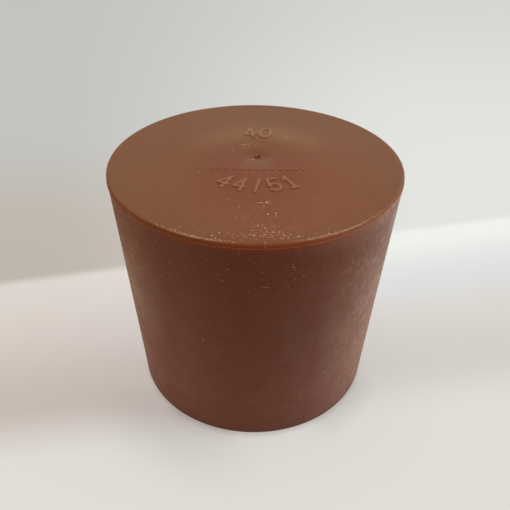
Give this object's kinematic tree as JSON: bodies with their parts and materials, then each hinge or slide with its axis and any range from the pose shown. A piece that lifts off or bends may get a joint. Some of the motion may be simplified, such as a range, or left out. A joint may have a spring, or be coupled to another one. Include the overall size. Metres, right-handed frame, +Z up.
{
  "type": "rubber stopper",
  "caption": "Solid tapered rubber stopper with a thin straight lip round its wide head, raised numerals on the head's face and a sunken moulding gate between them.",
  "frame": {"origin": "centre of the foot's face, the small end that the stopper stands on", "axes": "+Z up the stopper's axis to the wide head; the numerals read upright to someone looking along +Y, with +X to their right"},
  "size_m": [0.051, 0.051, 0.0453],
  "materials": {
    "rubber": "moulded satin, red-brown natural rubber with a faint pale bloom"
  },
  "bodies": {
    "root": {"stopper": "rubber"}
  },
  "joints": []
}
